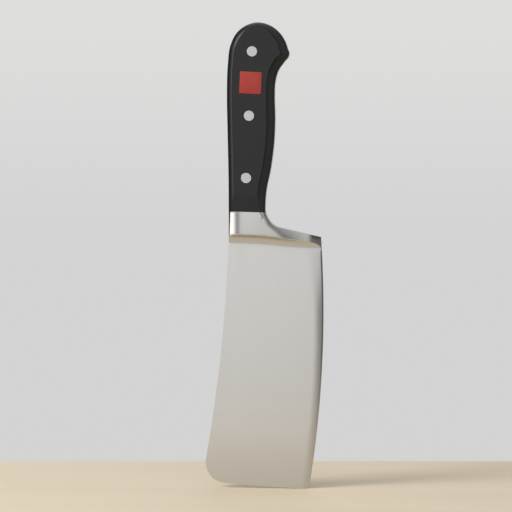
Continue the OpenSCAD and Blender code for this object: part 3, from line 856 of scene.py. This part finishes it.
def turnedRivet(name, node, height, side, outline):
    place = onRow(height)
    bm = bmesh.new()
    ring = [bm.verts.new((place.x + r, side * y, place.y)) for r, y in outline]
    edges = [bm.edges.new((a, b)) for a, b in zip(ring, ring[1:] + ring[:1])]
    bmesh.ops.spin(bm, geom=ring + edges, cent=(place.x, 0, place.y), axis=(0, 1, 0), dvec=(0, 0, 0),
                   angle=math.radians(360), steps=rivets["steps"], use_merge=True, use_duplicate=False)
    bmesh.ops.remove_doubles(bm, verts=bm.verts, dist=1e-4)
    bmesh.ops.recalc_face_normals(bm, faces=bm.faces)
    addPiece(name, bm, rivets["sharpAngle"], rivetFinish, [node])


headR, headY, cut = rivets["headDiameter"] / 2, faceY - rivets["headLength"], rivets["chamfer"]
postR, shankR = rivets["postDiameter"] / 2, rivets["shankDiameter"] / 2
boreR, boreEnd, pole = postR + rivets["postGap"], faceY - rivets["boreEnd"], rivets["pole"]
postEnd = rivets["headLength"] * 2 - faceY
head = [(pole, faceY), (headR - cut, faceY), (headR, faceY - cut), (headR, headY)]
postLine = head + [(postR, headY), (postR, postEnd), (pole, postEnd)]
sleeveLine = head + [(shankR, headY), (shankR, -headY), (boreR, -headY), (boreR, boreEnd), (pole, boreEnd)]
for place, height in rivets["heights"].items():
    turnedRivet("rivetPost" + place.capitalize(), "rivet_post_" + place, height, -1, postLine)
    turnedRivet("rivetSleeve" + place.capitalize(), "rivet_sleeve_" + place, height, 1, sleeveLine)
addPiece("squareInlay", inlayPlate(0, inlay["rounding"]), inlay["sharpAngle"], inlayFinish,
         ["inlay"])
print("rivets and inlay made")


# The table, the room and the light

view = {
    "azimuth": 6, "elevation": 3, "distance": 1.5, "aimAside": -0.00537, "aimHeight": 0.1477, "lens": 166.6,
}
room = {
    "tableColour": "#dfd1ba", "grainColour": "#d2c1a6", "tableRoughness": 0.6, "grainScale": (2.5, 22, 1),
    "tableLeft": 1.6, "tableRight": 1.6, "tableFront": 0.3, "tableBack": 0.122,
    "wallHigh": "#dededd", "wallLow": "#d3d3d3", "wallBlend": 0.06, "fillStrength": 0.62,
    "lampBearing": -60, "lampAway": 2.2, "lampHeight": 1.45, "lampSize": 0.9, "lampAim": 0.05,
    "lampPower": 40,
    # First and last bearing, distance, foot, top, and radiance or colour
    "softboxes": {"window": (-84, -42, 1.5, -0.2, 1.3, 1.4), "windowSide": (-42, -32, 1.5, -0.2, 1.3, 0.7),
                  "front": (-15, 1, 1.9, -0.2, 1.5, 0.7)},
    # Sheets seen only in reflections: painted dark and grey reflections of a shaded room
    "cards": {"blackRight": (17.5, 48, 1.3, -1.2, 1.6, "#0c0c0c"),
              "greyRight": (10, 17.5, 1.3, -1.2, 1.6, "#bababa"),
              "greyLeft": (-29, -14, 1.3, -1.2, 1.6, "#cdcdcd"),
              "blackLeft": (-150, -86, 1.3, -1.2, 1.6, "#0c0c0c"),
              "greyBehind": (105, 165, 1.3, -1.2, 1.6, "#7c7c7c")},
}


def satinTableTop():
    # Pale oiled wood kept plain: a matt warm top with only a trace of long grain
    finish, tree = newMaterial("plain pale table top")
    place = addNode(tree, "ShaderNodeTexCoord")
    along = addNode(tree, "ShaderNodeMapping", {"Scale": room["grainScale"]},
                    {"Vector": place.outputs["Object"]})
    grain = addNode(tree, "ShaderNodeTexNoise", {"Scale": 1.0, "Detail": 3.0},
                    {"Vector": along.outputs["Vector"]})
    tint = mixedColour(tree, room["tableColour"], room["grainColour"], grain.outputs["Fac"])
    wood = addNode(tree, "ShaderNodeBsdfPrincipled", {"Roughness": room["tableRoughness"]},
                   {"Base Color": tint})
    addNode(tree, "ShaderNodeOutputMaterial", links={"Surface": wood.outputs["BSDF"]})
    return finish


def stagePlane(name, x0, x1, y0, y1, finish):
    bm = bmesh.new()
    bmesh.ops.create_grid(bm, x_segments=1, y_segments=1, size=0.5)
    bmesh.ops.scale(bm, vec=(x1 - x0, y1 - y0, 1), verts=bm.verts)
    bmesh.ops.translate(bm, vec=((x0 + x1) / 2, (y0 + y1) / 2, 0), verts=bm.verts)
    plane = tempObject(name, bm)
    plane.data.materials.append(finish)
    return plane


def areaLight(name, place, target, size, power):
    light = bpy.data.lights.new(name, "AREA")
    light.energy = power
    light.shape, light.size, light.size_y = "RECTANGLE", size[0], size[1]
    lamp = bpy.data.objects.new(name, light)
    lamp.location = place
    lamp.rotation_euler = (Vector(target) - Vector(place)).to_track_quat("-Z", "Y").to_euler()
    bpy.context.scene.collection.objects.link(lamp)


def brighter(tree, first, second):
    node = addNode(tree, "ShaderNodeMath", {"operation": "MAXIMUM"})
    tree.links.new(first, node.inputs[0])
    tree.links.new(second, node.inputs[1])
    return node.outputs["Value"]


def paleRoom():  # a pale wall where it is seen or mirrored, and an even white fill where it lights
    world = bpy.data.worlds.new("pale room")
    bpy.context.scene.world = world
    world.use_nodes = True
    tree = world.node_tree
    tree.nodes.clear()
    path = addNode(tree, "ShaderNodeLightPath")
    seen = brighter(tree, path.outputs["Is Camera Ray"], path.outputs["Is Glossy Ray"])
    shown = brighter(tree, seen, path.outputs["Is Transmission Ray"])
    fill = addNode(tree, "ShaderNodeBackground", {
        "Color": hexColour("#ffffff"), "Strength": room["fillStrength"]})
    place = addNode(tree, "ShaderNodeTexCoord")
    height = addNode(tree, "ShaderNodeSeparateXYZ", links={"Vector": place.outputs["Generated"]})
    up = addNode(tree, "ShaderNodeMapRange", {
        "From Min": -room["wallBlend"], "From Max": room["wallBlend"], "interpolation_type": "SMOOTHSTEP"},
        {"Value": height.outputs["Z"]})
    tone = mixedColour(tree, room["wallLow"], room["wallHigh"], up.outputs["Result"])
    wall = addNode(tree, "ShaderNodeBackground", links={"Color": tone})
    both = addNode(tree, "ShaderNodeMixShader")
    tree.links.new(shown, both.inputs[0])
    tree.links.new(fill.outputs["Background"], both.inputs[1])
    tree.links.new(wall.outputs["Background"], both.inputs[2])
    addNode(tree, "ShaderNodeOutputWorld", links={"Surface": both.outputs["Shader"]})


def bearing(degrees, away, height=0):  # a place in the room, by its bearing from the front of the knife
    a = math.radians(degrees)
    return Vector((math.sin(a) * away, -math.cos(a) * away, height))


def softbox(name, first, last, away, foot, top, radiance):  # an upright soft light between two bearings
    left, right = bearing(first, away), bearing(last, away)
    size = ((right - left).length, top - foot)
    middle = (left + right) / 2 + Vector((0, 0, (top + foot) / 2))
    areaLight(name, middle, (0, 0, middle.z), size, radiance * size[0] * size[1] * math.pi)


def mirroredShadeCard(name, first, last, away, foot, top, colour):  # a sheet that only shiny surfaces mirror: painted shade, dark or grey, in their reflections; camera rays, diffuse light and shadows pass through it
    finish, tree = newMaterial(name + " felt card")
    mirroredShade = addNode(tree, "ShaderNodeBsdfDiffuse", {"Color": hexColour(colour)})
    addNode(tree, "ShaderNodeOutputMaterial", links={"Surface": mirroredShade.outputs["BSDF"]})
    bm = bmesh.new()
    bmesh.ops.create_grid(bm, x_segments=12, y_segments=1, size=1)
    for v in bm.verts:
        share = (v.co.x + 1) / 2
        v.co = bearing(first + (last - first) * share, away, top if v.co.y > 0 else foot)
    card = tempObject(name, bm)
    card.data.materials.append(finish)
    # Only reflections see the card, so it paints shade into mirrored surroundings and nothing else
    card.visible_camera = card.visible_diffuse = card.visible_shadow = False


table = stagePlane("tableTop", -room["tableLeft"], room["tableRight"], -room["tableFront"], room["tableBack"],
                   satinTableTop())
table.data.transform(Matrix.Rotation(math.radians(view["azimuth"]), 4, "Z"))
paleRoom()
for name, place in room["softboxes"].items():
    softbox(name + "Softbox", *place)
areaLight("skylight", bearing(room["lampBearing"], room["lampAway"], room["lampHeight"]),
          (0, 0, room["lampAim"]), (room["lampSize"], room["lampSize"]), room["lampPower"])
# Painted shade in reflections: sheets that only shiny surfaces see
for name, place in room["cards"].items():
    mirroredShadeCard(name, *place)
print("room lit")


# The camera stands where the photograph was taken

def addCamera():
    a, e = math.radians(view["azimuth"]), math.radians(view["elevation"])
    towards = Vector((math.sin(a) * math.cos(e), -math.cos(a) * math.cos(e), math.sin(e)))
    aim = Vector((math.cos(a), math.sin(a), 0)) * view["aimAside"] + Vector((0, 0, view["aimHeight"]))
    lens = bpy.data.cameras.new("camera")
    lens.lens, lens.sensor_width = view["lens"], 36
    camera = bpy.data.objects.new("camera", lens)
    camera.location = aim + towards * view["distance"]
    camera.rotation_euler = (-towards).to_track_quat("-Z", "Y").to_euler()
    bpy.context.scene.collection.objects.link(camera)
    bpy.context.scene.camera = camera


addCamera()
bpy.context.scene.view_settings.view_transform = "Standard"
